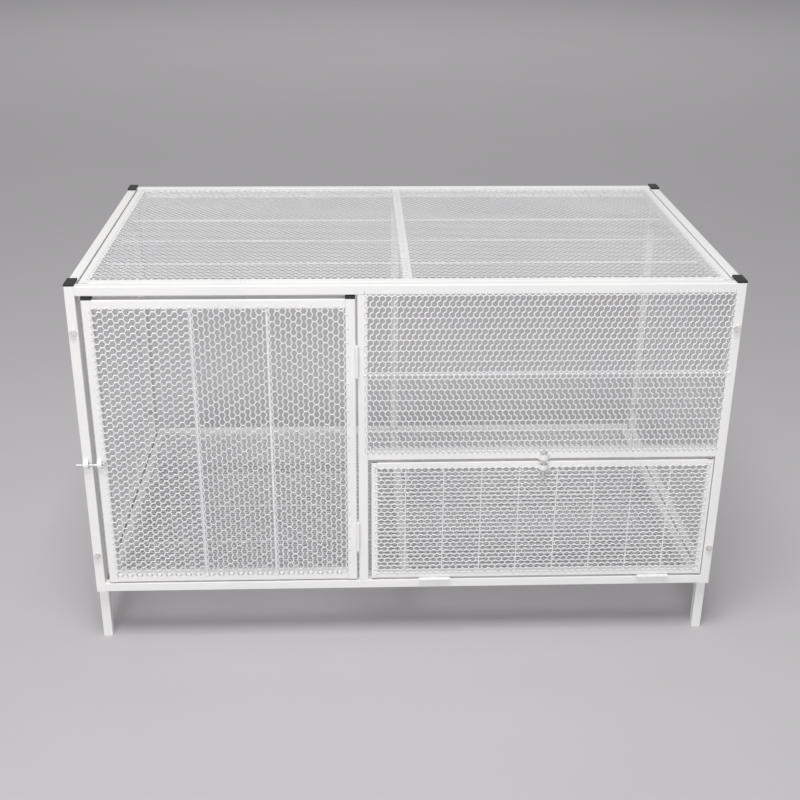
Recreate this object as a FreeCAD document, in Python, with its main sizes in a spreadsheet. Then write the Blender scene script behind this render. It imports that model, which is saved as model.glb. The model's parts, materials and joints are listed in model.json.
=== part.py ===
import FreeCAD, Part
import os
import re

import Sketcher

# Wire-mesh rabbit hutch of welded square steel tube.  Millimetres, +Z up.
# The origin is on the floor, midway between the four feet.  The front faces -Y.

SIZES = {
    # overall
    "width": 1000.0,            # outside of the posts, left to right
    "depth": 588.0,             # front face to back face of the frame
    "height": 614.0,            # floor to the top of the tubes
    "leg": 95.5,                # clear height under the frame
    # square tube of the frame and of the flap
    "tube": 15.0,
    "tube_wall": 1.2,
    "tube_corner": 1.6,
    "thin_tube": 10.0,
    "thin_wall": 1.0,
    "thin_corner": 1.2,
    # mesh sheets and the round wires behind them
    "mesh": 1.5,
    "mesh_lap": 5.0,
    "mesh_lap_post": 1.5,       # the window's sheet stops short of the post's bolts
    "stay_wire": 3.2,
    "window_wire": 4.0,
    "door_wire": 4.5,
    "flap_wire": 2.2,
    # layout of the front
    "door_bay": 409.5,          # left post to mid post
    "flap_bay": 217.5,          # bottom rail to mid rail
    # roof and floor panels
    "panel_side_gap": 2.5,
    "panel_end_gap": 2.0,
    "first_stay": 140.0,        # front edge of a panel to its first stay wire
    "stay_pitch": 125.0,
    "strip_from_front": 134.0,  # second layer of mesh on the floor
    "strip_deep": 86.0,
    "strip_from_bar": 5.0,
    "strip_long": 462.0,
    "tack": 7.0,                # weld tacks that hold the panels
    "tack_drop": 3.0,
    "tack_bead": 2.6,
    "tack_inset": 240.0,
    # plastic caps
    "cap_rise": 3.5,
    "cap_plug": 12.0,
    "cap_fit": 0.15,
    "cap_inset": 0.2,           # the lid stands this far inside the tube's outside
    # frame bolts
    "bolt": 6.0,
    "bolt_head_flats": 10.0,
    "bolt_head_tall": 4.0,
    "bolt_hole_fit": 0.4,
    "bolt_low": 67.5,           # above the bottom of the frame
    "bolt_high": 71.0,          # below the top of the frame
    "nut_tall": 5.0,
    "nut_fit": 0.1,
    "bolt_end": 2.0,
    # door
    "door_latch_gap": 7.5,
    "door_hinge_gap": 3.0,
    "door_foot_gap": 2.5,
    "door_head_gap": 6.3,
    "door_cap_rise": 5.0,
    "door_first_wire": 156.5,
    "door_wire_pitch": 112.3,
    "door_hinge_low": 193.0,    # middle of each hinge, above the floor
    "door_hinge_high": 494.0,
    # flap
    "flap_left_gap": 5.0,
    "flap_right_gap": 1.5,
    "flap_foot_gap": 3.8,
    "flap_head_gap": 4.8,
    "flap_first_wire": 53.8,
    "flap_wire_pitch": 59.7,
    "flap_hinge_inset": 102.0,  # flap edge to the middle of each hinge
    "flap_hinge_inset_right": 80.0,
    # butt hinges
    "hinge_long": 50.0,
    "barrel": 6.0,
    "leaf": 1.1,
    "leaf_deep": 9.0,
    "pin": 2.4,
    "pin_fit": 0.15,
    "pin_head": 4.2,
    "pin_head_tall": 0.8,
    "knuckle_gap": 0.3,
    # slide bolts: a round rod with a ring at one end, under two arched straps
    "door_rod": 4.0,
    "flap_rod": 5.0,
    "rod_clear": 0.4,           # between a rod and the mesh that it slides in front of
    "rod_fit": 0.4,
    "strap": 1.2,
    "strap_foot": 1.2,          # how far a strap's foot stands out from its arch
    "keeper_wide": 8.0,
    "guide_wide": 7.2,
    "door_rod_up": 327.0,       # height of the door's bolt
    "door_rod_tip": 8.8,        # how far its tip stands past the left post
    "door_keeper_in": 9.2,      # post edge to the middle of the keeper
    "door_guide_in": 0.5,       # door edge to the guide
    "flap_rod_from_post": 274.0,
    "flap_rod_tip": 298.0,
    "flap_guide_wide": 9.0,
    "flap_guide_up": 0.5,       # mid rail's lower edge to the guide
    "flap_keeper_wide": 8.0,
    "flap_keeper_up": -1.7,     # flap rail's lower edge to the keeper
    "ring": 3.1,                # radius of the ring's middle line
    "ring_wire": 1.2,           # radius of its wire
    "ring_out": 1.6,            # guide's end to the ring's centre
}

STAYS = 3                       # stay wires across the roof and the floor
DOOR_WIRES = 2
FLAP_WIRES = 8

doc = FreeCAD.newDocument("rabbit_hutch")
sheet = doc.addObject("Spreadsheet::Sheet", "Dims")
for row, (word, value) in enumerate(SIZES.items(), start=1):
    sheet.set("A%d" % row, word)
    sheet.set("B%d" % row, str(value))
    sheet.setAlias("B%d" % row, word)
doc.recompute()

nodes = []

# Places that several pieces share, as formulas of the sheet's cells.
LEFT = "(-width / 2)"
RIGHT = "(width / 2)"
FRONT = "(-depth / 2)"
BACK = "(depth / 2)"
TOP_RAIL = "(height - tube)"
ABOVE_FLOOR_RAIL = "(leg + tube)"
MID_POST = "(%s + tube + door_bay)" % LEFT
BAY_LEFT = "(%s + tube)" % MID_POST
BAY_WIDE = "(width / 2 - tube - %s)" % BAY_LEFT
MID_RAIL = "(%s + flap_bay)" % ABOVE_FLOOR_RAIL
SIDE_FRONT = "(%s + 2 * tube)" % FRONT
SIDE_DEEP = "(depth - 4 * tube)"
PANEL_LEFT = "(%s + tube + panel_side_gap)" % LEFT
PANEL_WIDE = "(width - 2 * tube - 2 * panel_side_gap)"
PANEL_FRONT = "(%s + tube + panel_end_gap)" % FRONT
PANEL_DEEP = "(depth - 2 * tube - 2 * panel_end_gap)"
DOOR_LEFT = "(%s + tube + door_latch_gap)" % LEFT
DOOR_WIDE = "(door_bay - door_latch_gap - door_hinge_gap)"
DOOR_FOOT = "(%s + door_foot_gap)" % ABOVE_FLOOR_RAIL
DOOR_TALL = "(%s - door_head_gap - %s)" % (TOP_RAIL, DOOR_FOOT)
FLAP_LEFT = "(%s + flap_left_gap)" % BAY_LEFT
FLAP_WIDE = "(%s - flap_left_gap - flap_right_gap)" % BAY_WIDE
FLAP_FOOT = "(%s + flap_foot_gap)" % ABOVE_FLOOR_RAIL
FLAP_TALL = "(flap_bay - flap_foot_gap - flap_head_gap)"
HINGE_AXIS = "(%s - barrel / 2)" % FRONT
DOOR_ROD_AXIS = "(%s - mesh - rod_clear - door_rod / 2)" % FRONT
FLAP_ROD_AXIS = "(%s - mesh - rod_clear - flap_rod / 2)" % FRONT
FLAP_ROD = "(%s + flap_rod_from_post)" % BAY_LEFT

X_AXIS = FreeCAD.Vector(1, 0, 0)
Y_AXIS = FreeCAD.Vector(0, 1, 0)
PLANES = {"X": "YZ_Plane", "Y": "XZ_Plane", "Z": "XY_Plane"}
TURNS = {
    "X": FreeCAD.Rotation(Y_AXIS, 90),
    "Y": FreeCAD.Rotation(X_AXIS, -90),
    "Z": FreeCAD.Rotation(),
}
TO_THE_FRONT = FreeCAD.Rotation(X_AXIS, 180) * TURNS["X"]


def cells(formula):
    """Writes each size's name as a cell of the sheet."""
    def as_cell(word):
        return "Dims." + word.group(0) if word.group(0) in SIZES else word.group(0)
    return re.sub(r"[a-z_]+", as_cell, formula)


def bind(piece, **formulas):
    for name, formula in formulas.items():
        piece.setExpression(name, cells(formula))


def place(piece, x, y, z, turn=None):
    if turn is not None:
        piece.Placement = FreeCAD.Placement(FreeCAD.Vector(), turn)
    for letter, formula in zip("xyz", (x, y, z)):
        piece.setExpression(".Placement.Base." + letter, cells(formula))
    return piece


def node(piece, name):
    """Makes the piece a sub-part with its own name."""
    piece.Label = name
    nodes.append(piece)
    return piece


def box(name, x, y, z, long, wide, tall):
    piece = doc.addObject("Part::Box", name)
    bind(piece, Length=long, Width=wide, Height=tall)
    return place(piece, x, y, z)


def round_bar(name, axis, x, y, z, across, long):
    piece = doc.addObject("Part::Cylinder", name)
    bind(piece, Radius="(%s) / 2" % across, Height=long)
    return place(piece, x, y, z, TURNS[axis])


def hexagon(name, x, y, z, flats, tall):
    """A six-sided prism along +Y, with a corner to the left and one to the right."""
    piece = doc.addObject("Part::Prism", name)
    piece.Polygon = 6
    bind(piece, Circumradius="(%s) / sqrt(3)" % flats, Height=tall)
    return place(piece, x, y, z, TURNS["Y"])


def join(name, pieces):
    piece = doc.addObject("Part::MultiFuse", name)
    piece.Shapes = pieces
    return piece


def cut(name, base, tools):
    piece = doc.addObject("Part::Cut", name)
    piece.Base = base
    piece.Tool = tools[0] if len(tools) == 1 else join(name + "_tools", tools)
    return piece


def rectangle(sketch, tag, inset, across):
    """Adds a square whose corner stands the inset away from the origin along both axes."""
    low, high = 1.0, 9.0
    corners = [(low, low), (high, low), (high, high), (low, high)]
    first = sketch.GeometryCount
    for index, start in enumerate(corners):
        end = corners[(index + 1) % 4]
        points = [FreeCAD.Vector(*start, 0), FreeCAD.Vector(*end, 0)]
        sketch.addGeometry(Part.LineSegment(*points), False)
    for index in range(4):
        following = first + (index + 1) % 4
        sketch.addConstraint(Sketcher.Constraint("Coincident", first + index, 2, following, 1))
    for index, way in enumerate(("Horizontal", "Vertical", "Horizontal", "Vertical")):
        sketch.addConstraint(Sketcher.Constraint(way, first + index))
    lengths = (
        ("right", ("DistanceX", -1, 1, first, 1), inset),
        ("up", ("DistanceY", -1, 1, first, 1), inset),
        ("wide", ("DistanceX", first, 1, first, 2), across),
        ("tall", ("DistanceY", first + 1, 1, first + 1, 2), across),
    )
    for word, places, formula in lengths:
        index = sketch.addConstraint(Sketcher.Constraint(*places, low))
        sketch.renameConstraint(index, tag + word)
        sketch.setExpression("Constraints." + tag + word, cells(formula))


def tube(name, axis, x, y, z, long, across="tube", wall="tube_wall", corner="tube_corner"):
    """A square tube along an axis, from the corner (x, y, z)."""
    body = doc.addObject("PartDesign::Body", name)
    sketch = body.newObject("Sketcher::SketchObject", name + "_section")
    plane = [face for face in body.Origin.OriginFeatures if face.Role == PLANES[axis]][0]
    sketch.AttachmentSupport = [(plane, "")]
    sketch.MapMode = "FlatFace"
    rectangle(sketch, "outer_", "0", across)
    rectangle(sketch, "inner_", wall, "%s - 2 * %s" % (across, wall))
    pad = body.newObject("PartDesign::Pad", name + "_length")
    pad.Profile = sketch
    pad.Reversed = axis == "Y"
    bind(pad, Length=long)
    doc.recompute()
    size = float(sheet.get(across))
    rim = [0.0, size]
    along = "XYZ".index(axis)
    edges = []
    for index, edge in enumerate(pad.Shape.Edges, start=1):
        start, end = edge.Vertexes[0].Point, edge.Vertexes[-1].Point
        lengthwise = abs(start[along] - end[along]) > size / 100
        others = [start[other] for other in range(3) if other != along]
        outside = all(min(abs(value - side) for side in rim) < size / 1000 for value in others)
        if lengthwise and outside:
            edges.append("Edge%d" % index)
    fillet = body.newObject("PartDesign::Fillet", name + "_corners")
    fillet.Base = (pad, edges)
    bind(fillet, Radius=corner)
    body.Tip = fillet
    return place(body, x, y, z)


def sheet_of_mesh(name, x, y, z, long, wide, tall):
    return node(box(name, x, y, z, long, wide, tall), name)


def hinge_leaf(name, gap, side, x, y, z, turn):
    """Half of a butt hinge: a leaf in the gap and its barrels.

    It is drawn about a pin along Z.  Side 1 is the fixed leaf with the two end barrels,
    side -1 the moving leaf with the middle barrel.
    """
    start = "%s / 2 - leaf" % gap if side > 0 else "-%s / 2" % gap
    barrel_long = "(hinge_long - 2 * knuckle_gap) / 3"
    tab_from = "(pin / 2 + 2 * pin_fit)"
    leaf_from = "(barrel / 2 + pin_fit)"
    foot = "(-hinge_long / 2)"
    steps = (0, 2) if side > 0 else (1,)
    pieces = [box(name + "_plate", start, leaf_from, foot, "leaf", "leaf_deep", "hinge_long")]
    for step in steps:
        low = "%s + %d * (%s + knuckle_gap)" % (foot, step, barrel_long)
        tab = box("%s_tab%d" % (name, step), start, tab_from, low, "leaf",
                  "barrel / 2", barrel_long)
        barrel = round_bar("%s_barrel%d" % (name, step), "Z", "0", "0", low,
                           "barrel", barrel_long)
        pieces += [tab, barrel]
    bore = round_bar(name + "_bore", "Z", "0", "0", "-hinge_long", "pin + 2 * pin_fit",
                     "2 * hinge_long")
    leaf = cut(name, join(name + "_solid", pieces), [bore])
    return place(leaf, x, y, z, turn)


def hinge_pin(name, x, y, z, turn):
    foot = "(-hinge_long / 2)"
    shank = round_bar(name + "_shank", "Z", "0", "0", foot, "pin", "hinge_long")
    low = round_bar(name + "_low", "Z", "0", "0", foot + " - pin_head_tall", "pin_head",
                    "pin_head_tall")
    high = round_bar(name + "_high", "Z", "0", "0", "hinge_long / 2", "pin_head",
                     "pin_head_tall")
    return place(join(name, [shank, low, high]), x, y, z, turn)


def hinges(owner, fixed_to, gap, spots, turn):
    """The leaves and pins of all the hinges of one door."""
    makers = (
        ("%s_hinge_%s_leaves" % (owner, fixed_to), 1),
        ("%s_hinge_%s_leaves" % (owner, owner), -1),
    )
    for name, side in makers:
        leaves = [
            hinge_leaf("%s%d" % (name, index), gap, side, *spot, turn)
            for index, spot in enumerate(spots)
        ]
        node(join(name, leaves), name)
    pins = [
        hinge_pin("%s_hinge_pin%d" % (owner, index), *spot, turn)
        for index, spot in enumerate(spots)
    ]
    node(join(owner + "_hinge_pins", pins), owner + "_hinge_pins")


def saddle(name, wide, rod, x, z, turn, seat="0"):
    """A strap arched over a slide bolt, which runs along X before it is turned into place.

    Its two feet lie on a plane that stands the seat in front of the frame.
    """
    reach = "(mesh - %s + rod_clear + %s + rod_fit)" % (seat, rod)
    span = "(2 * (%s + strap + strap_foot))" % reach
    feet = box(name + "_feet", "0", "-strap", "-%s / 2" % span, wide, "strap", span)
    arch = doc.addObject("Part::Cylinder", name + "_arch")
    arch.Angle = 180
    bind(arch, Radius=reach + " + strap", Height=wide)
    place(arch, "0", "0", "0", TO_THE_FRONT)
    tunnel = round_bar(name + "_tunnel", "X", "-" + wide, "0", "0", "2 * " + reach,
                       "3 * " + wide)
    strap = cut(name, join(name + "_solid", [feet, arch]), [tunnel])
    return place(strap, x, "%s - %s" % (FRONT, seat), z, turn)


def eye(name, x, y, z):
    """The ring at a slide bolt's end, which faces the front."""
    ring = doc.addObject("Part::Torus", name)
    bind(ring, Radius1="ring", Radius2="ring_wire")
    return place(ring, x, y, z, TURNS["Y"])


def cap(name, x, y, z, rise, wall="tube_wall", across="tube"):
    """A plastic cap on an upright tube's end at the height z."""
    lid_wide = "%s - 2 * cap_inset" % across
    lid = box(name + "_lid", "%s + cap_inset" % x, "%s + cap_inset" % y, z, lid_wide,
              lid_wide, rise)
    inset = "(%s + cap_fit)" % wall
    inner = "%s - 2 * %s" % (across, inset)
    plug = box(name + "_plug", "%s + %s" % (x, inset), "%s + %s" % (y, inset),
               "%s - cap_plug" % z, inner, inner, "cap_plug")
    return join(name, [lid, plug])


def bolt_places():
    """The four corners' posts, each with two bolt heights and the side that they face."""
    for side, x in (("left", "%s + tube / 2" % LEFT), ("right", "%s - tube / 2" % RIGHT)):
        for height, z in (("low", "leg + bolt_low"), ("high", "height - bolt_high")):
            yield side, height, x, z


def drilled(name, piece, end, side):
    """Drills the bolt holes of one corner through a post, right through both walls."""
    start = "%s - tube" % FRONT if end == "front" else "%s - 3 * tube" % BACK
    holes = []
    for spot, height, x, z in bolt_places():
        if spot == side:
            holes.append(round_bar("%s_hole_%s" % (name, height), "Y", x, start, z,
                                   "bolt + bolt_hole_fit", "4 * tube"))
    return cut(name, piece, holes)


def make_posts_and_legs():
    legs = {"left": [], "right": []}
    for end, post_y, leg_y in (
        ("front", FRONT, "%s + tube" % FRONT),
        ("back", "%s - tube" % BACK, "%s - 2 * tube" % BACK),
    ):
        posts = []
        for side, x in (("left", LEFT), ("right", "%s - tube" % RIGHT)):
            name = "%s_%s_post" % (end, side)
            plain = tube(name + "_tube", "Z", x, post_y, "leg", "height - leg")
            posts.append(drilled(name, plain, end, side))
            name = "%s_leg_%s" % (side, end)
            plain = tube(name + "_tube", "Z", x, leg_y, "0", "height")
            legs[side].append(drilled(name, plain, end, side))
        node(join(end + "_posts", posts), end + "_posts")
    for side, pair in legs.items():
        node(join(side + "_legs", pair), side + "_legs")


def make_front_frame():
    across = ("%s + tube" % LEFT, FRONT)
    inside = "width - 2 * tube"
    node(tube("front_top_rail", "X", *across, TOP_RAIL, inside), "front_top_rail")
    node(tube("front_bottom_rail", "X", *across, "leg", inside), "front_bottom_rail")
    upright = "%s - %s" % (TOP_RAIL, ABOVE_FLOOR_RAIL)
    node(tube("front_mid_post", "Z", MID_POST, FRONT, ABOVE_FLOOR_RAIL, upright),
         "front_mid_post")
    node(tube("front_mid_rail", "X", BAY_LEFT, FRONT, MID_RAIL, BAY_WIDE), "front_mid_rail")
    middle = "(%s + tube + %s) / 2" % (MID_RAIL, TOP_RAIL)
    node(round_bar("window_wire", "X", BAY_LEFT, "%s + window_wire / 2" % FRONT, middle,
                   "window_wire", BAY_WIDE), "window_wire")
    sheet_of_mesh("window_mesh", "%s - mesh_lap" % BAY_LEFT, "%s - mesh" % FRONT,
                  "%s + tube - mesh_lap" % MID_RAIL,
                  "%s + mesh_lap + mesh_lap_post" % BAY_WIDE,
                  "mesh", "%s - %s - tube + 2 * mesh_lap" % (TOP_RAIL, MID_RAIL))


def make_side_panels():
    for side, x, outside in (
        ("left", LEFT, "%s - mesh" % LEFT),
        ("right", "%s - tube" % RIGHT, RIGHT),
    ):
        for level, z in (("top", TOP_RAIL), ("bottom", "leg")):
            name = "%s_%s_rail" % (side, level)
            node(tube(name, "Y", x, SIDE_FRONT, z, SIDE_DEEP), name)
        sheet_of_mesh(side + "_mesh", outside, "%s - mesh_lap" % SIDE_FRONT,
                      "%s - mesh_lap" % ABOVE_FLOOR_RAIL, "mesh",
                      "%s + 2 * mesh_lap" % SIDE_DEEP,
                      "%s - %s + 2 * mesh_lap" % (TOP_RAIL, ABOVE_FLOOR_RAIL))


def make_back_frame():
    across = ("%s + tube" % LEFT, "%s - tube" % BACK)
    inside = "width - 2 * tube"
    node(tube("back_top_rail", "X", *across, TOP_RAIL, inside), "back_top_rail")
    node(tube("back_bottom_rail", "X", *across, "leg", inside), "back_bottom_rail")
    upright = "%s - %s" % (TOP_RAIL, ABOVE_FLOOR_RAIL)
    node(tube("back_centre_post", "Z", "-tube / 2", "%s - tube" % BACK, ABOVE_FLOOR_RAIL,
              upright), "back_centre_post")


def make_panel(name, z):
    """The roof or the floor: a mesh-topped frame with a centre bar and stay wires."""
    sides = []
    for side, x in (("left", PANEL_LEFT), ("right", "-%s - tube" % PANEL_LEFT)):
        sides.append(tube("%s_%s_rail" % (name, side), "Y", x, PANEL_FRONT, z, PANEL_DEEP))
    node(join(name + "_side_rails", sides), name + "_side_rails")
    inside = "%s - 2 * tube" % PANEL_WIDE
    start = "%s + tube" % PANEL_LEFT
    back = "%s + %s - tube" % (PANEL_FRONT, PANEL_DEEP)
    node(tube(name + "_front_rail", "X", start, PANEL_FRONT, z, inside), name + "_front_rail")
    node(tube(name + "_back_rail", "X", start, back, z, inside), name + "_back_rail")
    node(tube(name + "_centre_bar", "Y", "-tube / 2", "%s + tube" % PANEL_FRONT, z,
              "%s - 2 * tube" % PANEL_DEEP), name + "_centre_bar")
    wires = [
        round_bar("%s_stay%d" % (name, index), "X", PANEL_LEFT,
                  "%s + first_stay + %d * stay_pitch" % (PANEL_FRONT, index),
                  "%s - stay_wire / 2" % z, "stay_wire", PANEL_WIDE)
        for index in range(STAYS)
    ]
    node(join(name + "_stay_wires", wires), name + "_stay_wires")
    inset = "(tube - mesh_lap)"
    sheet_of_mesh(name + "_mesh", "%s + %s" % (PANEL_LEFT, inset),
                  "%s + %s" % (PANEL_FRONT, inset), "%s + tube" % z,
                  "%s - 2 * %s" % (PANEL_WIDE, inset), "%s - 2 * %s" % (PANEL_DEEP, inset),
                  "mesh")


def make_floor_strip():
    sheet_of_mesh("floor_mesh_strip", "strip_from_bar", "%s + strip_from_front" % PANEL_FRONT,
                  "%s + mesh" % ABOVE_FLOOR_RAIL, "strip_long", "strip_deep", "mesh")


def make_tacks():
    """Weld tacks across the gaps in front of and behind the roof and the floor panel."""
    tacks = []
    spots = ("%s + tack_inset" % PANEL_LEFT, "-%s - tack_inset" % PANEL_LEFT)
    for top in ("height", ABOVE_FLOOR_RAIL):
        for y in ("%s + tube" % FRONT, "%s - tube - panel_end_gap" % BACK):
            for x in spots:
                name = "tack%d" % len(tacks)
                fill = box(name + "_fill", "%s - tack / 2" % x, y, "%s - tack_drop" % top,
                           "tack", "panel_end_gap", "tack_drop")
                bead = doc.addObject("Part::Sphere", name + "_bead")
                bead.Angle1 = 0
                bind(bead, Radius="tack_bead")
                place(bead, x, "%s + panel_end_gap / 2" % y, top)
                tacks.append(join(name, [fill, bead]))
    node(join("panel_tacks", tacks), "panel_tacks")


def make_caps():
    caps = []
    for x in (LEFT, "%s - tube" % RIGHT):
        for y in (FRONT, "%s + tube" % FRONT, "%s - 2 * tube" % BACK, "%s - tube" % BACK):
            caps.append(cap("cap%d" % len(caps), x, y, "height", "cap_rise"))
    node(join("post_caps", caps), "post_caps")


def make_frame_bolts():
    bolts = []
    nuts = []
    shank_long = "2 * tube + nut_tall + bolt_end"
    for end in ("front", "back"):
        front = end == "front"
        head_y = "%s - bolt_head_tall" % FRONT if front else BACK
        shank_y = FRONT if front else "%s - (%s)" % (BACK, shank_long)
        nut_y = "%s + 2 * tube" % FRONT if front else "%s - 2 * tube - nut_tall" % BACK
        for side, height, x, z in bolt_places():
            name = "%s_%s_%s" % (end, side, height)
            head = hexagon(name + "_head", x, head_y, z, "bolt_head_flats", "bolt_head_tall")
            shank = round_bar(name + "_shank", "Y", x, shank_y, z, "bolt", shank_long)
            bolts.append(join(name + "_bolt", [head, shank]))
            blank = hexagon(name + "_blank", x, nut_y, z, "bolt_head_flats", "nut_tall")
            thread = round_bar(name + "_thread", "Y", x, "%s - nut_tall" % nut_y, z,
                               "bolt + 2 * nut_fit", "3 * nut_tall")
            nuts.append(cut(name + "_nut", blank, [thread]))
    node(join("frame_bolts", bolts), "frame_bolts")
    node(join("frame_nuts", nuts), "frame_nuts")


def make_door():
    right = "%s + %s - tube" % (DOOR_LEFT, DOOR_WIDE)
    inside = "%s - 2 * tube" % DOOR_WIDE
    start = "%s + tube" % DOOR_LEFT
    top = "%s + %s - tube" % (DOOR_FOOT, DOOR_TALL)
    for name, x in (("door_latch_stile", DOOR_LEFT), ("door_hinge_stile", right)):
        node(tube(name, "Z", x, FRONT, DOOR_FOOT, DOOR_TALL), name)
    for name, z in (("door_bottom_rail", DOOR_FOOT), ("door_top_rail", top)):
        node(tube(name, "X", start, FRONT, z, inside), name)
    wires = [
        round_bar("door_wire%d" % index, "Z",
                  "%s + door_first_wire + %d * door_wire_pitch" % (DOOR_LEFT, index),
                  "%s + door_wire / 2" % FRONT, "%s + tube" % DOOR_FOOT, "door_wire",
                  "%s - 2 * tube" % DOOR_TALL)
        for index in range(DOOR_WIRES)
    ]
    node(join("door_wires", wires), "door_wires")
    sheet_of_mesh("door_mesh", "%s - mesh_lap" % start, "%s - mesh" % FRONT,
                  "%s + tube - mesh_lap" % DOOR_FOOT, "%s + 2 * mesh_lap" % inside, "mesh",
                  "%s - 2 * tube + 2 * mesh_lap" % DOOR_TALL)
    caps = [
        cap("door_cap%d" % index, x, FRONT, "(%s + %s)" % (DOOR_FOOT, DOOR_TALL),
            "door_cap_rise")
        for index, x in enumerate((DOOR_LEFT, right))
    ]
    node(join("door_caps", caps), "door_caps")
    axis_x = "%s - door_hinge_gap / 2" % MID_POST
    spots = [(axis_x, HINGE_AXIS, "door_hinge_low"), (axis_x, HINGE_AXIS, "door_hinge_high")]
    hinges("door", "post", "door_hinge_gap", spots, TURNS["Z"])


def make_door_bolt():
    keeper_x = "%s + tube - door_keeper_in - keeper_wide / 2" % LEFT
    node(saddle("door_bolt_keeper", "keeper_wide", "door_rod", keeper_x, "door_rod_up",
                TURNS["Z"]), "door_bolt_keeper")
    guide_x = "(%s + door_guide_in)" % DOOR_LEFT
    node(saddle("door_bolt_guide", "guide_wide", "door_rod", guide_x, "door_rod_up",
                TURNS["Z"]), "door_bolt_guide")
    tip = "(%s - door_rod_tip)" % LEFT
    ring_x = "(%s + guide_wide + ring_out)" % guide_x
    rod = round_bar("door_bolt_rod", "X", tip, DOOR_ROD_AXIS, "door_rod_up", "door_rod",
                    "%s - ring - %s" % (ring_x, tip))
    ring = eye("door_bolt_ring", ring_x, DOOR_ROD_AXIS, "door_rod_up")
    node(join("door_bolt", [rod, ring]), "door_bolt")


def make_flap():
    thin = {"across": "thin_tube", "wall": "thin_wall", "corner": "thin_corner"}
    right = "%s + %s - thin_tube" % (FLAP_LEFT, FLAP_WIDE)
    inside = "%s - 2 * thin_tube" % FLAP_WIDE
    start = "%s + thin_tube" % FLAP_LEFT
    top = "%s + %s - thin_tube" % (FLAP_FOOT, FLAP_TALL)
    stiles = [
        tube("flap_stile%d" % index, "Z", x, FRONT, FLAP_FOOT, FLAP_TALL, **thin)
        for index, x in enumerate((FLAP_LEFT, right))
    ]
    node(join("flap_stiles", stiles), "flap_stiles")
    for name, z in (("flap_bottom_rail", FLAP_FOOT), ("flap_top_rail", top)):
        node(tube(name, "X", start, FRONT, z, inside, **thin), name)
    wires = [
        round_bar("flap_wire%d" % index, "Z",
                  "%s + flap_first_wire + %d * flap_wire_pitch" % (FLAP_LEFT, index),
                  "%s + flap_wire / 2" % FRONT, "%s + thin_tube" % FLAP_FOOT, "flap_wire",
                  "%s - 2 * thin_tube" % FLAP_TALL)
        for index in range(FLAP_WIRES)
    ]
    node(join("flap_wires", wires), "flap_wires")
    sheet_of_mesh("flap_mesh", "%s - mesh_lap" % start, "%s - mesh" % FRONT,
                  "%s + thin_tube - mesh_lap" % FLAP_FOOT, "%s + 2 * mesh_lap" % inside,
                  "mesh", "%s - 2 * thin_tube + 2 * mesh_lap" % FLAP_TALL)
    axis_z = "%s + flap_foot_gap / 2" % ABOVE_FLOOR_RAIL
    spots = [
        ("%s + flap_hinge_inset" % FLAP_LEFT, HINGE_AXIS, axis_z),
        ("%s + %s - flap_hinge_inset_right" % (FLAP_LEFT, FLAP_WIDE), HINGE_AXIS, axis_z),
    ]
    hinges("flap", "rail", "flap_foot_gap", spots, TURNS["X"])


def make_flap_bolt():
    upright = FreeCAD.Rotation(Y_AXIS, -90)
    guide_z = "(%s + flap_guide_up)" % MID_RAIL
    node(saddle("flap_bolt_guide", "flap_guide_wide", "flap_rod", FLAP_ROD, guide_z, upright),
         "flap_bolt_guide")
    keeper_z = "%s + %s - thin_tube + flap_keeper_up" % (FLAP_FOOT, FLAP_TALL)
    node(saddle("flap_bolt_keeper", "flap_keeper_wide", "flap_rod", FLAP_ROD, keeper_z,
                upright, "mesh"), "flap_bolt_keeper")
    ring_z = "(%s + flap_guide_wide + ring_out)" % guide_z
    rod = round_bar("flap_bolt_rod", "Z", FLAP_ROD, FLAP_ROD_AXIS, "flap_rod_tip", "flap_rod",
                    "%s - ring - flap_rod_tip" % ring_z)
    ring = eye("flap_bolt_ring", FLAP_ROD, FLAP_ROD_AXIS, ring_z)
    node(join("flap_bolt", [rod, ring]), "flap_bolt")


def check_and_write():
    doc.recompute()
    for piece in doc.Objects:
        if "Invalid" in piece.State or "Error" in piece.State:
            raise RuntimeError("%s did not compute: %s" % (piece.Label, piece.State))
    for piece in nodes:
        if piece.Shape.isNull() or not piece.Shape.isValid():
            raise RuntimeError("%s has no valid shape" % piece.Label)
    os.makedirs("parts", exist_ok=True)
    for piece in nodes:
        piece.Shape.exportStep("parts/%s.step" % piece.Label)
    print("%d sub-parts written" % len(nodes))


make_posts_and_legs()
make_front_frame()
make_side_panels()
make_back_frame()
make_panel("roof", TOP_RAIL)
make_panel("floor", "leg")
make_floor_strip()
make_tacks()
make_caps()
make_frame_bolts()
make_door()
make_door_bolt()
make_flap()
make_flap_bolt()
check_and_write()
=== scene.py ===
import json
import math
import random

import bmesh
import bpy
from mathutils import Matrix, Vector


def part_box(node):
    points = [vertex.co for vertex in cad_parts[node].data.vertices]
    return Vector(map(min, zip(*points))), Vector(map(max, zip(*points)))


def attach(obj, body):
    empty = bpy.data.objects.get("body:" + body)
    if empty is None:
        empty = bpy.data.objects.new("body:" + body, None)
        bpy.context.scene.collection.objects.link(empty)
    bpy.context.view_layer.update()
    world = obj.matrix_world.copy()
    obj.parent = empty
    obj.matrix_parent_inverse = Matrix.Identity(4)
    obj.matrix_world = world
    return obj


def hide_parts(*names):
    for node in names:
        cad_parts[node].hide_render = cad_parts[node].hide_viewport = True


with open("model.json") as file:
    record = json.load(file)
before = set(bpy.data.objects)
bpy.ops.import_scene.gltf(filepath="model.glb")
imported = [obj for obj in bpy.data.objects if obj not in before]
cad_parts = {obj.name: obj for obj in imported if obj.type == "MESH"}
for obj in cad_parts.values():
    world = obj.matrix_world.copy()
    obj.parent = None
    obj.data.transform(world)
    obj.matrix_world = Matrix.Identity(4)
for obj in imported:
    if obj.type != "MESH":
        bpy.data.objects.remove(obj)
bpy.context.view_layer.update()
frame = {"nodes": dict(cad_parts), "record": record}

MM = 0.001
SEED = 7
random.seed(SEED)

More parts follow.
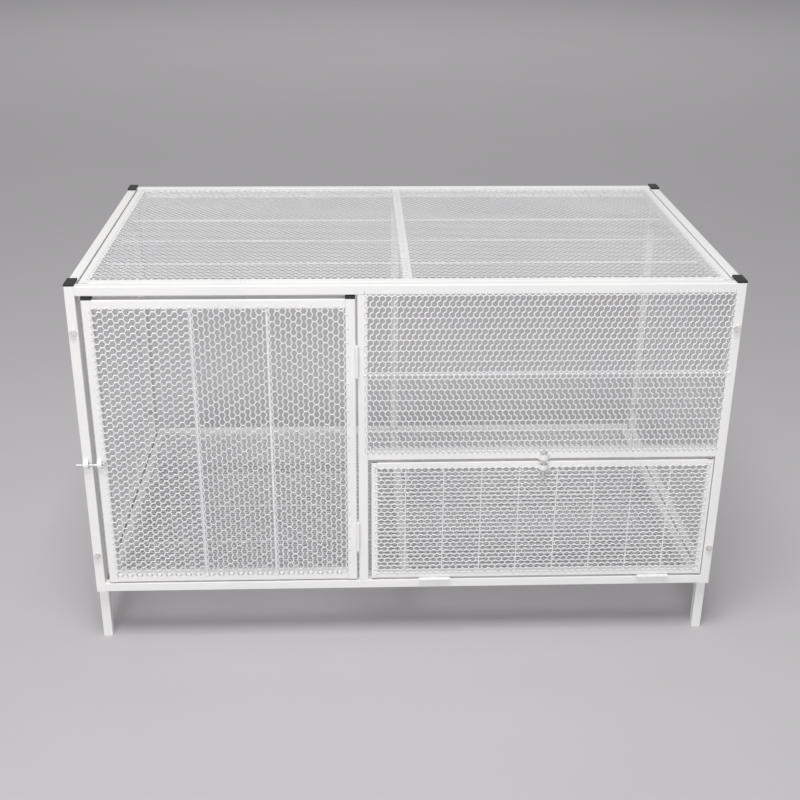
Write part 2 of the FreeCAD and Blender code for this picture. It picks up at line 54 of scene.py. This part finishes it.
# ---------------------------------------------------------------- materials

# Places of the colour sockets on a mix node.
MIX_FACTOR, MIX_FIRST, MIX_SECOND, MIXED = 0, 6, 7, 2

# Noises: the scale of one, from broad to fine, its detail, roughness and stretch.
PAPER = (1.3,)
CLOUDS = (5.0, 4.0)
SCUFFS = (60.0, 6.0, 0.7)
DUST = (90.0, 5.0)
RIPPLES = (120.0,)
PATCHES = (220.0, 4.0)
DRAWN_LINES = (500.0, 3.0, 0.6, (1.0, 0.08, 1.0))
ORANGE_PEEL = (900.0, 2.0)
GRAIN = (1500.0, 2.0)

# The stretch of a noise's values over which a mark comes in.
CLOUD_RANGE = (0.35, 0.75)
SCUFF_RANGE = (0.66, 0.8)
DUST_RANGE = (0.45, 0.75)
PATCH_RANGE = (0.35, 0.7)

SCUFF_SHOWS = 0.35          # how far a scuff goes towards the grime colour
DUST_SHOWS = 0.5            # how far dust goes towards the dusty black
DULL = 0.72                 # brightness of zinc's dull patches, as a share of the clean zinc
PEEL_DEPTH = 0.0004         # distances of the bumps, in metres
GRAIN_DEPTH = 0.0003


class Signal:
    """A shader socket that takes part in Python sums."""

    def __init__(self, tree, socket):
        self.tree = tree
        self.socket = socket

    def combine(self, operation, first, second):
        math_node = self.tree.nodes.new("ShaderNodeMath")
        math_node.operation = operation
        for slot, value in zip(math_node.inputs, (first, second)):
            if isinstance(value, Signal):
                self.tree.links.new(value.socket, slot)
            else:
                slot.default_value = value
        return Signal(self.tree, math_node.outputs[0])

    def __add__(self, other):
        return self.combine("ADD", self, other)

    def __radd__(self, other):
        return self.combine("ADD", other, self)

    def __mul__(self, other):
        return self.combine("MULTIPLY", self, other)

    def __rmul__(self, other):
        return self.combine("MULTIPLY", other, self)


class Finish:
    """A material under construction: its node tree and its shader."""

    def __init__(self, name):
        self.material = bpy.data.materials.new(name)
        self.material.use_nodes = True
        self.tree = self.material.node_tree
        self.shader = self.tree.nodes["Principled BSDF"]
        self.place = self.node("ShaderNodeTexCoord", output="Object")

    def node(self, kind, settings=None, output=0, **inputs):
        """Adds a node, sets it up and returns one of its outputs."""
        made = self.tree.nodes.new(kind)
        for word, value in (settings or {}).items():
            setattr(made, word, value)
        for word, value in inputs.items():
            self.feed(made.inputs[word.replace("_", " ")], value)
        return Signal(self.tree, made.outputs[output])

    def feed(self, socket, value):
        """Links a signal to a socket, or sets the socket to a plain value."""
        if isinstance(value, Signal):
            self.tree.links.new(value.socket, socket)
        elif socket.type == "RGBA" and len(value) == 3:
            socket.default_value = (*value, 1.0)
        else:
            socket.default_value = value

    def noise(self, scale, detail=3.0, roughness=0.55, stretch=None):
        """Noise in the piece's own place, drawn out where the stretch is under 1."""
        where = self.place
        if stretch:
            where = self.node("ShaderNodeMapping", Vector=self.place, Scale=stretch)
        return self.node("ShaderNodeTexNoise", Vector=where, Scale=scale, Detail=detail,
                         Roughness=roughness)

    def ramp(self, signal, low, high):
        """Rises smoothly from 0 at low to 1 at high."""
        return self.node("ShaderNodeMapRange", {"interpolation_type": "SMOOTHSTEP"}, Value=signal,
                         From_Min=low, From_Max=high)

    def mix(self, factor, first, second):
        """Goes from the first colour to the second as the factor rises."""
        mixer = self.tree.nodes.new("ShaderNodeMix")
        mixer.data_type = "RGBA"
        self.feed(mixer.inputs[MIX_FACTOR], factor)
        self.feed(mixer.inputs[MIX_FIRST], first)
        self.feed(mixer.inputs[MIX_SECOND], second)
        return Signal(self.tree, mixer.outputs[MIXED])

    def bump(self, height, strength, distance):
        return self.node("ShaderNodeBump", Height=height, Strength=strength, Distance=distance)

    def shade(self, **inputs):
        for word, value in inputs.items():
            self.feed(self.shader.inputs[word.replace("_", " ")], value)
        return self.material


def coated_steel(name, clean, shade, roughness):
    """Powder coat: a faint orange peel, soft cloudy shade and a few dull scuffs."""
    coat = Finish(name)
    cloud = coat.noise(*CLOUDS)
    color = coat.mix(coat.ramp(cloud, *CLOUD_RANGE), clean, shade)
    scuff = coat.ramp(coat.noise(*SCUFFS), *SCUFF_RANGE)
    color = coat.mix(scuff * SCUFF_SHOWS, color, GRIME)
    orange_peel = coat.noise(*ORANGE_PEEL)
    ripples = coat.noise(*RIPPLES)
    height = orange_peel * 0.5 + ripples
    return coat.shade(
        Base_Color=color,
        Roughness=roughness + scuff * 0.2 + cloud * 0.08,
        Normal=coat.bump(height, 0.25, PEEL_DEPTH),
        Specular_IOR_Level=0.45,
    )


def moulded_plastic(name):
    """Black plastic: a fine grain and a little dust."""
    plastic = Finish(name)
    grain = plastic.noise(*GRAIN)
    dust = plastic.ramp(plastic.noise(*DUST), *DUST_RANGE)
    color = plastic.mix(dust * DUST_SHOWS, BLACK, DUSTY_BLACK)
    return plastic.shade(
        Base_Color=color,
        Roughness=0.5 + dust * 0.15,
        Normal=plastic.bump(grain, 0.3, GRAIN_DEPTH),
    )


def zinc_steel(name, tone, roughness):
    """Zinc plate: dull patches and faint drawn lines that run from front to back."""
    zinc = Finish(name)
    patches = zinc.noise(*PATCHES)
    drawn = zinc.noise(*DRAWN_LINES)
    dull = tuple(part * DULL for part in tone)
    return zinc.shade(
        Base_Color=zinc.mix(zinc.ramp(patches, *PATCH_RANGE), tone, dull),
        Metallic=0.6,
        Roughness=roughness + drawn * 0.18,
        Normal=zinc.bump(drawn, 0.2, GRAIN_DEPTH),
    )


WARM_WHITE = (0.87, 0.866, 0.855)
PLAIN_WHITE = (0.87, 0.866, 0.872)
COOL_WHITE = (0.80, 0.80, 0.815)
GRIME = (0.52, 0.51, 0.49)
BLACK = (0.012, 0.012, 0.014)
DUSTY_BLACK = (0.035, 0.035, 0.038)

finishes = {
    "frame_paint": coated_steel("frame_paint", WARM_WHITE, (0.82, 0.82, 0.815), 0.42),
    "door_paint": coated_steel("door_paint", WARM_WHITE, (0.81, 0.81, 0.80), 0.44),
    "mesh_paint": coated_steel("mesh_paint", PLAIN_WHITE, COOL_WHITE, 0.5),
    "wire_paint": coated_steel("wire_paint", PLAIN_WHITE, COOL_WHITE, 0.46),
    "hinge_paint": coated_steel("hinge_paint", (0.85, 0.85, 0.84), COOL_WHITE, 0.4),
    "strap_paint": coated_steel("strap_paint", (0.84, 0.84, 0.83), COOL_WHITE, 0.45),
    "cap_plastic": moulded_plastic("cap_plastic"),
    "fastener_steel": zinc_steel("fastener_steel", (0.84, 0.83, 0.81), 0.45),
    "slide_bolt_steel": zinc_steel("slide_bolt_steel", (0.74, 0.74, 0.73), 0.42),
}

for row in frame["record"]["subparts"]:
    mesh = frame["nodes"][row["node"]].data
    mesh.materials.clear()
    mesh.materials.append(finishes[row["material_slot"]])

# ---------------------------------------------------------------- open mesh

STRAND = 2.1 * MM           # width of a strand between two holes
STRAND_RISE = 0.4 * MM      # half a strand's thickness
ROUNDING = 0.9 * MM         # corner of a hole
FINE_STRAND = 1.8 * MM      # the same on the strip in the floor
FINE_ROUNDING = 0.5 * MM
WAIST = 0.62                # how wide the opening between two cells is left
PRESSED = 0.15              # what is left of a strand's relief where it lies on a tube
BEVEL = {"affect": "VERTICES", "segments": 2, "profile": 0.5, "material": -1}
WELD_REACH = 0.02 * MM      # corners closer than this become one
CUT_REACH = 0.01 * MM       # a corner this close to a cut lies on it
MARGIN_BLOCKS = 1.5         # how far a field starts outside its corner, in blocks
SPARE_BLOCKS = 2            # blocks laid beyond the field's length


class Weave:
    """A field of dumbbell holes: pairs of six-sided cells that open into each other.

    The cells stand on a lattice of two vectors, about 60 degrees apart.  The pairs
    repeat after the step, and the whole pattern after the block, which is wide by tall.
    """

    def __init__(self, first, second, partner, block, step=(0.0, 0.0), pairs=1,
                 strand=STRAND, rounding=ROUNDING):
        self.first = Vector(first) * MM
        self.second = Vector(second) * MM
        self.partner = Vector(partner) * MM
        self.block = Vector(block) * MM
        self.step = Vector(step) * MM
        self.pairs = pairs
        self.strand = strand
        self.rounding = rounding


# The weaves' spacings, in millimetres.
COLUMN = 7.8                # door and sides: between columns, and up a column
CELL = 11.15
ROW_CELL = 9.0              # window: along a row, and between rows
ROW = 8.7
LONG_CELL = 10.55           # flap, roof and floor: along a row, and between rows
LOW_ROW = 7.06
FINE_COLUMN = 4.6           # strip in the floor: between columns, and up a column
FINE_CELL = 6.6

UPRIGHT = ((COLUMN, CELL / 2), (0.0, CELL))
LEANING = ((ROW_CELL, 0.0), (ROW_CELL / 2, ROW))
FLAT = ((LONG_CELL, 0.0), (LONG_CELL / 2, LOW_ROW))
RISING = Weave(*UPRIGHT, UPRIGHT[1], (4 * COLUMN, 2 * CELL), (COLUMN, CELL / 2), 4)
FALLING = Weave(*UPRIGHT, UPRIGHT[1], (4 * COLUMN, 2 * CELL), (COLUMN, -CELL / 2), 4)
FINE = ((FINE_COLUMN, FINE_CELL / 2), (0.0, FINE_CELL))
DENSE = Weave(*FINE, FINE[1], (4 * FINE_COLUMN, 2 * FINE_CELL), (FINE_COLUMN, -FINE_CELL / 2), 4,
              FINE_STRAND, FINE_ROUNDING)
SLANTED = Weave(*UPRIGHT, UPRIGHT[0], (2 * COLUMN, CELL))
LEAN_RIGHT = Weave(*LEANING, LEANING[1], (ROW_CELL, 2 * ROW))
LEAN_LEFT = Weave(*LEANING, (-ROW_CELL / 2, ROW), (ROW_CELL, 2 * ROW))
LYING = Weave(*FLAT, FLAT[0], (2 * LONG_CELL, 4 * LOW_ROW), (LONG_CELL / 2, -LOW_ROW), 4)


def copy_along(bm, source, offset):
    """Copies the geometry by the offset and returns the copy."""
    copied = bmesh.ops.duplicate(bm, geom=source)["geom"]
    verts = [part for part in copied if isinstance(part, bmesh.types.BMVert)]
    bmesh.ops.translate(bm, verts=verts, vec=offset)
    return copied


def everything(bm):
    return bm.verts[:] + bm.edges[:] + bm.faces[:]


def weld(bm):
    bmesh.ops.remove_doubles(bm, verts=bm.verts[:], dist=WELD_REACH)


def one_pair(bm, weave):
    """Two cells joined into one hole, as rounded strands round it, half of each strand wide."""
    bmesh.ops.create_circle(bm, cap_ends=True, segments=6, radius=1.0)
    # The lattice of a regular hexagon of radius 1, sheared onto the weave's own.
    regular = Matrix(((math.sqrt(3.0), math.sqrt(0.75)), (0.0, 1.5)))
    ours = Matrix(((weave.first.x, weave.second.x), (weave.first.y, weave.second.y)))
    shear = (ours @ regular.inverted()).to_4x4()
    bmesh.ops.transform(bm, matrix=shear, verts=bm.verts[:])
    copy_along(bm, everything(bm), weave.partner.to_3d())
    weld(bm)
    shared = [edge for edge in bm.edges if len(edge.link_faces) == 2]
    bmesh.ops.dissolve_edges(bm, edges=shared, use_verts=False)
    bmesh.ops.recalc_face_normals(bm, faces=bm.faces[:])
    copied = copy_along(bm, everything(bm), (0, 0, STRAND_RISE))
    outline = [part for part in copied if isinstance(part, bmesh.types.BMFace)]
    hole = [face for face in bm.faces if face not in outline]
    ring = bmesh.ops.inset_region(bm, faces=hole, thickness=weave.strand / 2, use_boundary=True,
                                  use_even_offset=True)["faces"]
    bmesh.ops.delete(bm, geom=ring, context="FACES")
    middle = weave.partner.to_3d() / 2
    waist = sorted(hole[0].verts, key=lambda vert: (vert.co - middle).length)[:2]
    bmesh.ops.scale(bm, verts=waist, vec=(WAIST, WAIST, 1.0), space=Matrix.Translation(-middle))
    bmesh.ops.bevel(bm, geom=hole[0].verts[:], offset=weave.rounding, **BEVEL)
    bmesh.ops.delete(bm, geom=bm.faces[:], context="FACES_ONLY")
    bmesh.ops.bridge_loops(bm, edges=bm.edges[:])
    bmesh.ops.recalc_face_normals(bm, faces=bm.faces[:])
    if sum(face.normal.z for face in bm.faces) < 0:
        bmesh.ops.reverse_faces(bm, faces=bm.faces[:])
    back = copy_along(bm, everything(bm), (0, 0, 0))
    verts = [part for part in back if isinstance(part, bmesh.types.BMVert)]
    faces = [part for part in back if isinstance(part, bmesh.types.BMFace)]
    bmesh.ops.scale(bm, verts=verts, vec=(1, 1, -1))
    bmesh.ops.reverse_faces(bm, faces=faces)
    weld(bm)


def drop_scraps(bm):
    """Keeps the largest joined part and deletes the ends of strand that the cuts left loose."""
    waiting = set(bm.verts)
    islands = []
    for start in bm.verts:
        if start not in waiting:
            continue
        waiting.remove(start)
        island = [start]
        for vert in island:
            for edge in vert.link_edges:
                neighbour = edge.other_vert(vert)
                if neighbour in waiting:
                    waiting.remove(neighbour)
                    island.append(neighbour)
        islands.append(island)
    islands.sort(key=len)
    scraps = [vert for island in islands[:-1] for vert in island]
    bmesh.ops.delete(bm, geom=scraps, context="VERTS")


def trim(bm, low, high):
    """Cuts the field to a rectangle and fills the ends of the cut strands."""
    sides = (
        ((low.x, 0, 0), (-1, 0, 0)),
        ((high.x, 0, 0), (1, 0, 0)),
        ((0, low.y, 0), (0, -1, 0)),
        ((0, high.y, 0), (0, 1, 0)),
    )
    for point, outward in sides:
        bmesh.ops.bisect_plane(bm, geom=everything(bm), plane_co=point, plane_no=outward,
                               clear_outer=True, dist=CUT_REACH)
    drop_scraps(bm)
    bmesh.ops.holes_fill(bm, edges=[edge for edge in bm.edges if edge.is_boundary], sides=0)


def press(bm, low, high):
    """Flattens the mesh outside a rectangle, where tubes back it."""
    for vert in bm.verts:
        inside = low.x < vert.co.x < high.x and low.y < vert.co.y < high.y
        if not inside:
            vert.co.z = PRESSED * (vert.co.z + STRAND_RISE) - STRAND_RISE


def woven_field(weave, low, high):
    """A flat field of the weave between two corners, in its own plane."""
    bm = bmesh.new()
    one_pair(bm, weave)
    pair = everything(bm)
    for index in range(1, weave.pairs):
        offset = weave.step * index
        wrapped = Vector((offset.x % weave.block.x, offset.y % weave.block.y, 0.0))
        copy_along(bm, pair, wrapped)
    for axis in range(2):
        block = everything(bm)
        step = Vector((0.0, 0.0, 0.0))
        step[axis] = weave.block[axis]
        copies = math.ceil((high - low)[axis] / weave.block[axis]) + SPARE_BLOCKS
        for index in range(1, copies + 1):
            copy_along(bm, block, step * index)
    weld(bm)
    start = low - weave.block * MARGIN_BLOCKS
    bmesh.ops.translate(bm, verts=bm.verts[:], vec=start.to_3d())
    trim(bm, low, high)
    return bm


# Which way a sheet faces: its own right, up and outward directions.
FACING_FRONT = ((1, 0, 0), (0, 0, 1), (0, -1, 0))
FACING_UP = ((1, 0, 0), (0, 1, 0), (0, 0, 1))
FACING_LEFT = ((0, -1, 0), (0, 0, 1), (-1, 0, 0))
FACING_RIGHT = ((0, 1, 0), (0, 0, 1), (1, 0, 0))


def smooth_piece(name, bm, paint):
    """Makes a smooth-shaded object of the geometry, in the paint of that name."""
    mesh = bpy.data.meshes.new(name)
    bm.to_mesh(mesh)
    bm.free()
    mesh.materials.append(finishes[paint])
    for polygon in mesh.polygons:
        polygon.use_smooth = True
    piece = bpy.data.objects.new(name, mesh)
    bpy.context.scene.collection.objects.link(piece)
    return piece


def hang_mesh(name, node, body, facing, zones, lap=0.0):
    """Puts open mesh in the place of a plain sheet, in zones that share the sheet.

    A zone is its weave and its span along the sheet's right and up directions, as
    shares of the sheet from 0 to 1.  The lap is the rim that lies on the tubes.
    """
    low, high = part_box(node)
    turn = Matrix(facing).transposed()
    half = (high - low) / 2
    thick = abs(half.dot(Vector(facing[2])))
    middle = (low + high) / 2 - Vector(facing[2]) * (thick - STRAND_RISE)
    right = abs(half.dot(Vector(facing[0])))
    up = abs(half.dot(Vector(facing[1])))
    whole = bmesh.new()
    for weave, span_right, span_up in zones:
        corner, opposite = (
            Vector((right * (2 * along_right - 1), up * (2 * along_up - 1)))
            for along_right, along_up in zip(span_right, span_up)
        )
        field = woven_field(weave, corner, opposite)
        carrier = bpy.data.meshes.new(name + "_zone")
        field.to_mesh(carrier)
        field.free()
        whole.from_mesh(carrier)
        bpy.data.meshes.remove(carrier)
    rim = Vector((right - lap, up - lap))
    if lap:
        press(whole, -rim, rim)
    bmesh.ops.transform(whole, matrix=Matrix.Translation(middle) @ turn.to_4x4(),
                        verts=whole.verts[:])
    piece = smooth_piece(name, whole, "mesh_paint")
    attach(piece, body)
    return piece


def share(value, node, axis):
    """How far along a node's box a coordinate lies, from 0 to 1."""
    low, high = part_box(node)
    return (value - low[axis]) / (high[axis] - low[axis])


WHOLE = (0.0, 1.0)
LAP = 5.0 * MM
X, Z = 0, 2
wire_low, wire_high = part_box("window_wire")
wire_height = (wire_low.z + wire_high.z) / 2
wire_at = share(wire_height, "window_mesh", Z)
window = hang_mesh("window_open_mesh", "window_mesh", "frame", FACING_FRONT, [
    (LEAN_LEFT, WHOLE, (0.0, wire_at)),
    (LEAN_RIGHT, WHOLE, (wire_at, 1.0)),
], LAP)
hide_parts("window_mesh")

stays_low, stays_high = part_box("door_wires")
half_wire = (stays_high.y - stays_low.y) / 2    # the stays are round
stays_x = (stays_low.x + half_wire, stays_high.x - half_wire)
first_stay, second_stay = (share(x, "door_mesh", X) for x in stays_x)
door = hang_mesh("door_open_mesh", "door_mesh", "door", FACING_FRONT, [
    (SLANTED, (0.0, first_stay), WHOLE),
    (RISING, (first_stay, second_stay), WHOLE),
    (FALLING, (second_stay, 1.0), WHOLE),
], LAP)
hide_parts("door_mesh")

flap = hang_mesh("flap_open_mesh", "flap_mesh", "flap", FACING_FRONT,
                 [(LYING, WHOLE, WHOLE)], LAP)
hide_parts("flap_mesh")

for side, facing in (("left", FACING_LEFT), ("right", FACING_RIGHT)):
    panel = hang_mesh(side + "_open_mesh", side + "_mesh", "frame", facing,
                      [(RISING, WHOLE, WHOLE)], LAP)
    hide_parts(side + "_mesh")

for level in ("roof", "floor"):
    for half, span in (("left", (0.0, 0.5)), ("right", (0.5, 1.0))):
        panel = hang_mesh("%s_open_mesh_%s" % (level, half), level + "_mesh", "frame",
                          FACING_UP, [(LYING, span, WHOLE)], LAP)
        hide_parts(level + "_mesh")

strip = hang_mesh("floor_open_mesh_strip", "floor_mesh_strip", "frame", FACING_UP,
                  [(DENSE, WHOLE, WHOLE)])
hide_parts("floor_mesh_strip")

# ---------------------------------------------------------------- weld beads

BLOB_SWELL = (0.86, 1.14)   # range of a blob's lumps, as shares of its radius
BLOB_STRETCH = (1.0, 1.5)   # range of its length
BLOB_HEIGHT = 0.55          # as a share of its radius
WIRE_BLOB = 2.4 * MM        # radii
ROOF_BLOB = 2.8 * MM
CORNER_BLOB = 2.2 * MM
PAST_WIRE = 4 * MM          # from a wire's end to its blob
FROM_RIM = 1 * MM           # from a sheet's rim to a blob on it


def weld_beads(name, body, spots, size):
    """Uneven blobs of paint-covered weld, each flattened along the way it faces."""
    bm = bmesh.new()
    for spot, outward in spots:
        blob = bmesh.ops.create_icosphere(bm, subdivisions=2, radius=size)["verts"]
        for vert in blob:
            vert.co *= random.uniform(*BLOB_SWELL)
        bmesh.ops.smooth_vert(bm, verts=blob, factor=0.5, use_axis_x=True, use_axis_y=True,
                              use_axis_z=True)
        stretch = random.uniform(*BLOB_STRETCH)
        bmesh.ops.scale(bm, verts=blob, vec=(stretch, 1.0, BLOB_HEIGHT))
        turn = Vector(outward).to_track_quat("Z", "Y").to_matrix().to_4x4()
        bmesh.ops.transform(bm, matrix=Matrix.Translation(spot) @ turn, verts=blob)
    piece = smooth_piece(name, bm, "strap_paint")
    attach(piece, body)


TO_FRONT = (0, -1, 0)
TO_TOP = (0, 0, 1)
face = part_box("door_latch_stile")[0].y
door_spots = [
    ((x, face, z), TO_FRONT)
    for x in stays_x
    for z in (stays_low.z - PAST_WIRE, stays_high.z + PAST_WIRE)
]
weld_beads("door_weld_beads", "door", door_spots, WIRE_BLOB)

window_spots = [
    ((x, face, wire_height), TO_FRONT)
    for x in (wire_low.x - PAST_WIRE, wire_high.x + PAST_WIRE)
]
weld_beads("window_weld_beads", "frame", window_spots, WIRE_BLOB)

# Beads along the roof's front and back rims, as shares of its width.
FRONT_BEADS = (0.26, 0.5, 0.75, 0.975)
BACK_BEADS = (0.2, 0.5, 0.8)
roof_low, roof_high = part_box("roof_mesh")
rims = ((roof_low.y + FROM_RIM, FRONT_BEADS), (roof_high.y - FROM_RIM, BACK_BEADS))
roof_spots = [
    ((roof_low.x + (roof_high.x - roof_low.x) * along, y, roof_low.z), TO_TOP)
    for y, row in rims
    for along in row
]
weld_beads("roof_weld_beads", "frame", roof_spots, ROOF_BLOB)

flap_low, flap_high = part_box("flap_mesh")
flap_spots = [
    ((x, face, z), TO_FRONT)
    for z in (flap_high.z - FROM_RIM, flap_low.z + FROM_RIM)
    for x in (flap_high.x - FROM_RIM, flap_low.x + FROM_RIM)
]
weld_beads("flap_weld_beads", "flap", flap_spots, CORNER_BLOB)

# ---------------------------------------------------------------- studio

FLOOR_REACH = 20.0
PAPER_TONES = ((0.535, 0.525, 0.535), (0.565, 0.555, 0.565))
HUTCH_MIDDLE = (0.0, 0.0, 0.4)      # where the lamps point
FAR_FLOOR = (0.0, 8.0, 0.0)
ROOM_TINT = (1.0, 0.985, 1.0, 1.0)
ROOM_STRENGTH = 0.31


def studio_floor():
    """A wide sheet of pale paper for the hutch to stand on."""
    bm = bmesh.new()
    bmesh.ops.create_grid(bm, x_segments=1, y_segments=1, size=FLOOR_REACH)
    mesh = bpy.data.meshes.new("studio_floor")
    bm.to_mesh(mesh)
    bm.free()
    paper = Finish("studio_floor")
    tone = paper.mix(paper.noise(*PAPER), *PAPER_TONES)
    mesh.materials.append(paper.shade(Base_Color=tone, Roughness=0.85))
    floor = bpy.data.objects.new("studio_floor", mesh)
    bpy.context.scene.collection.objects.link(floor)


def soft_light(name, place, aim, size, power):
    """A rectangular lamp, size in metres and power in watts, turned towards the aim."""
    data = bpy.data.lights.new(name, "AREA")
    data.shape = "RECTANGLE"
    data.size, data.size_y = size
    data.energy = power
    light = bpy.data.objects.new(name, data)
    light.location = place
    light.rotation_euler = (Vector(aim) - Vector(place)).to_track_quat("-Z", "Y").to_euler()
    bpy.context.scene.collection.objects.link(light)


studio_floor()
soft_light("key_light", (-0.3, -1.3, 3.5), HUTCH_MIDDLE, (1.4, 1.4), 76.0)
soft_light("front_light", (-0.8, -4.5, 1.4), HUTCH_MIDDLE, (2.5, 1.5), 74.0)
soft_light("far_light", (0.0, 7.0, 5.0), FAR_FLOOR, (8.0, 5.0), 135.0)

world = bpy.data.worlds.new("studio")
world.use_nodes = True
background = world.node_tree.nodes["Background"]
background.inputs["Color"].default_value = ROOM_TINT
background.inputs["Strength"].default_value = ROOM_STRENGTH
bpy.context.scene.world = world
bpy.context.scene.view_settings.view_transform = "Standard"

# ---------------------------------------------------------------- camera

YAW = math.radians(2.365)
PITCH = math.radians(24.023)
ROLL = math.radians(0.462)
CAMERA_PLACE = (-0.081, -1.971, 1.1785)
SENSOR_WIDTH = 36.0
FOCAL_LENGTH = 54.4
lens = bpy.data.cameras.new("camera")
lens.sensor_width = SENSOR_WIDTH
lens.lens = FOCAL_LENGTH
camera = bpy.data.objects.new("camera", lens)
turn = Matrix.Rotation(-YAW, 4, "Z") @ Matrix.Rotation(math.pi / 2 - PITCH, 4, "X")
turn = turn @ Matrix.Rotation(ROLL, 4, "Z")
camera.matrix_world = Matrix.Translation(CAMERA_PLACE) @ turn
bpy.context.scene.collection.objects.link(camera)
bpy.context.scene.camera = camera
